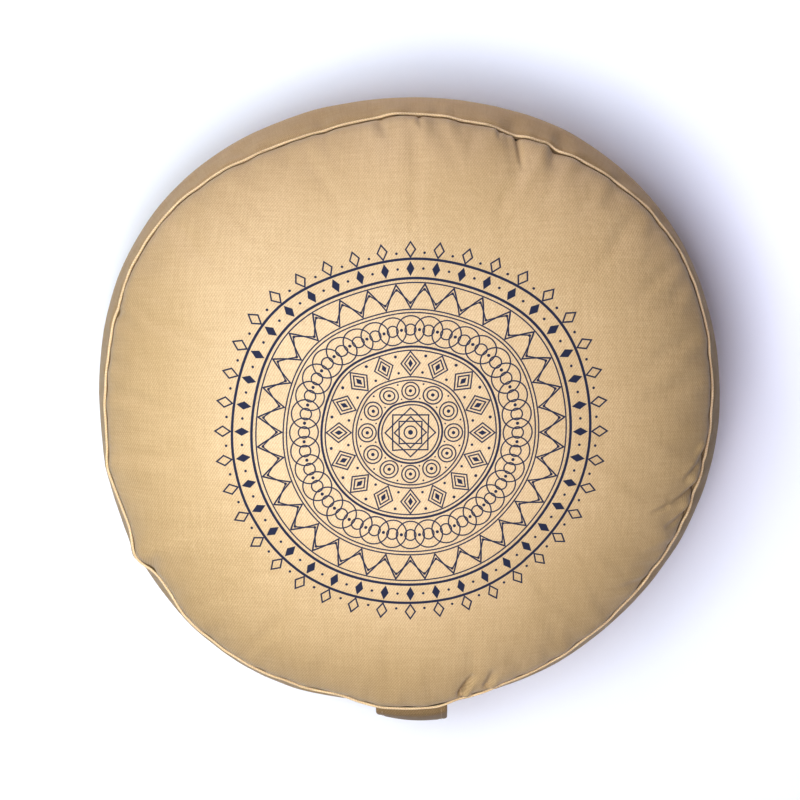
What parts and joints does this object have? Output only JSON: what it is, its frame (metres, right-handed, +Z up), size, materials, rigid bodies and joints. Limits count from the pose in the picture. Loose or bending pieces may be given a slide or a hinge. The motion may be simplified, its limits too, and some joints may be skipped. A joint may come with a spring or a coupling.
{
  "type": "zafu meditation cushion",
  "caption": "Round stuffed meditation cushion in sand cotton twill, with a printed top panel, a full side band, piped seams and a strap handle.",
  "frame": {"origin": "middle of the flat round underneath, on which the cushion rests", "axes": "+Z up through the middle of the top panel, -Y towards the strap handle, +X to the right seen from the handle"},
  "size_m": [0.3515, 0.3539, 0.15],
  "materials": {
    "sand_twill": "matte cotton twill, printed in navy on the top panel",
    "piping_twill": "matte cotton twill over a cord",
    "strap_twill": "matte doubled cotton twill, topstitched"
  },
  "bodies": {
    "root": {"cushion": "sand_twill", "top_piping": "piping_twill", "bottom_piping": "piping_twill", "handle": "strap_twill"}
  },
  "joints": []
}
